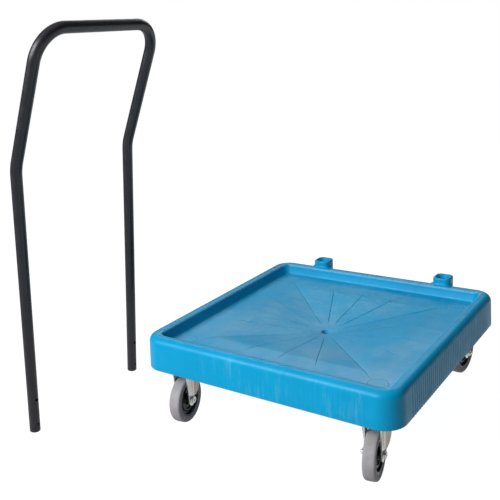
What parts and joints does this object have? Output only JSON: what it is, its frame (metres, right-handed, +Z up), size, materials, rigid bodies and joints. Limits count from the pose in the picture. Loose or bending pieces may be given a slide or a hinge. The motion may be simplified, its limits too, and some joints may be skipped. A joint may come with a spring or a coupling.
{
  "type": "dish rack dolly",
  "caption": "Low square dolly with a raised rim, dished floor with drain hole and swivel casters, with a loose bent-tube push handle standing beside it.",
  "frame": {"origin": "middle of the whole set's footprint, on the floor; the deck's centre is 103.8 mm to +X and 68.6 mm to +Y of it", "axes": "+Z up, -Y is the dolly's front, +Y the back edge with the handle sockets, +X the right side; the loose handle stands at -X with its crank towards the dolly"},
  "size_m": [0.7728, 0.7449, 0.8144],
  "materials": {
    "blue_polyethylene": "moulded, fine mottled grain, light scuffs",
    "black_powder_coat": "satin powder coat",
    "zinc_plate": "bright zinc plate, slightly warm",
    "black_plastic": "moulded, matt",
    "grey_rubber": "matt, non-marking"
  },
  "bodies": {
    "dolly": {"tray_deck": "blue_polyethylene", "caster_front_left_plate": "zinc_plate", "caster_front_left_race": "zinc_plate", "caster_front_left_kingpin": "zinc_plate", "caster_front_left_screw_1": "zinc_plate", "caster_front_left_screw_2": "zinc_plate", "caster_front_left_screw_3": "zinc_plate", "caster_front_left_screw_4": "zinc_plate", "caster_front_right_plate": "zinc_plate", "caster_front_right_race": "zinc_plate", "caster_front_right_kingpin": "zinc_plate", "caster_front_right_screw_1": "zinc_plate", "caster_front_right_screw_2": "zinc_plate", "caster_front_right_screw_3": "zinc_plate", "caster_front_right_screw_4": "zinc_plate", "caster_back_left_plate": "zinc_plate", "caster_back_left_race": "zinc_plate", "caster_back_left_kingpin": "zinc_plate", "caster_back_left_screw_1": "zinc_plate", "caster_back_left_screw_2": "zinc_plate", "caster_back_left_screw_3": "zinc_plate", "caster_back_left_screw_4": "zinc_plate", "caster_back_right_plate": "zinc_plate", "caster_back_right_race": "zinc_plate", "caster_back_right_kingpin": "zinc_plate", "caster_back_right_screw_1": "zinc_plate", "caster_back_right_screw_2": "zinc_plate", "caster_back_right_screw_3": "zinc_plate", "caster_back_right_screw_4": "zinc_plate"},
    "caster_front_left_swivel": {"caster_front_left_fork": "zinc_plate", "caster_front_left_axle_bolt": "zinc_plate", "caster_front_left_axle_nut": "zinc_plate", "caster_front_left_axle_sleeve": "zinc_plate"},
    "caster_front_left_wheel": {"caster_front_left_wheel_hub": "black_plastic", "caster_front_left_tyre": "grey_rubber"},
    "caster_front_right_swivel": {"caster_front_right_fork": "zinc_plate", "caster_front_right_axle_bolt": "zinc_plate", "caster_front_right_axle_nut": "zinc_plate", "caster_front_right_axle_sleeve": "zinc_plate"},
    "caster_front_right_wheel": {"caster_front_right_wheel_hub": "black_plastic", "caster_front_right_tyre": "grey_rubber"},
    "caster_back_left_swivel": {"caster_back_left_fork": "zinc_plate", "caster_back_left_axle_bolt": "zinc_plate", "caster_back_left_axle_nut": "zinc_plate", "caster_back_left_axle_sleeve": "zinc_plate"},
    "caster_back_left_wheel": {"caster_back_left_wheel_hub": "black_plastic", "caster_back_left_tyre": "grey_rubber"},
    "caster_back_right_swivel": {"caster_back_right_fork": "zinc_plate", "caster_back_right_axle_bolt": "zinc_plate", "caster_back_right_axle_nut": "zinc_plate", "caster_back_right_axle_sleeve": "zinc_plate"},
    "caster_back_right_wheel": {"caster_back_right_wheel_hub": "black_plastic", "caster_back_right_tyre": "grey_rubber"},
    "handle": {"push_handle": "black_powder_coat"}
  },
  "joints": [
    {"name": "caster_front_left_swivel_turn", "type": "hinge", "parent": "dolly", "child": "caster_front_left_swivel", "pos_m": [-0.1107, -0.1363, 0.1115], "axis": [0, 0, 1], "continuous": true},
    {"name": "caster_front_left_wheel_spin", "type": "hinge", "parent": "caster_front_left_swivel", "child": "caster_front_left_wheel", "pos_m": [-0.10538, -0.16988, 0.049], "axis": [0.9877, 0.1564, 0], "continuous": true},
    {"name": "caster_front_right_swivel_turn", "type": "hinge", "parent": "dolly", "child": "caster_front_right_swivel", "pos_m": [0.3183, -0.1363, 0.1115], "axis": [0, 0, 1], "continuous": true},
    {"name": "caster_front_right_wheel_spin", "type": "hinge", "parent": "caster_front_right_swivel", "child": "caster_front_right_wheel", "pos_m": [0.32479, -0.16967, 0.049], "axis": [0.9816, 0.1908, 0], "continuous": true},
    {"name": "caster_back_left_swivel_turn", "type": "hinge", "parent": "dolly", "child": "caster_back_left_swivel", "pos_m": [-0.1107, 0.2747, 0.1115], "axis": [0, 0, 1], "continuous": true},
    {"name": "caster_back_left_wheel_spin", "type": "hinge", "parent": "caster_back_left_swivel", "child": "caster_back_left_wheel", "pos_m": [-0.11543, 0.30837, 0.049], "axis": [-0.9903, -0.1392, 0], "continuous": true},
    {"name": "caster_back_right_swivel_turn", "type": "hinge", "parent": "dolly", "child": "caster_back_right_swivel", "pos_m": [0.3183, 0.2747, 0.1115], "axis": [0, 0, 1], "continuous": true},
    {"name": "caster_back_right_wheel_spin", "type": "hinge", "parent": "caster_back_right_swivel", "child": "caster_back_right_wheel", "pos_m": [0.32109, 0.30859, 0.049], "axis": [-0.9966, 0.0819, 0], "continuous": true},
    {"name": "handle_lift", "type": "slide", "parent": "dolly", "child": "handle", "axis": [0, 0, 1], "range_m": [0, 0.3]}
  ]
}
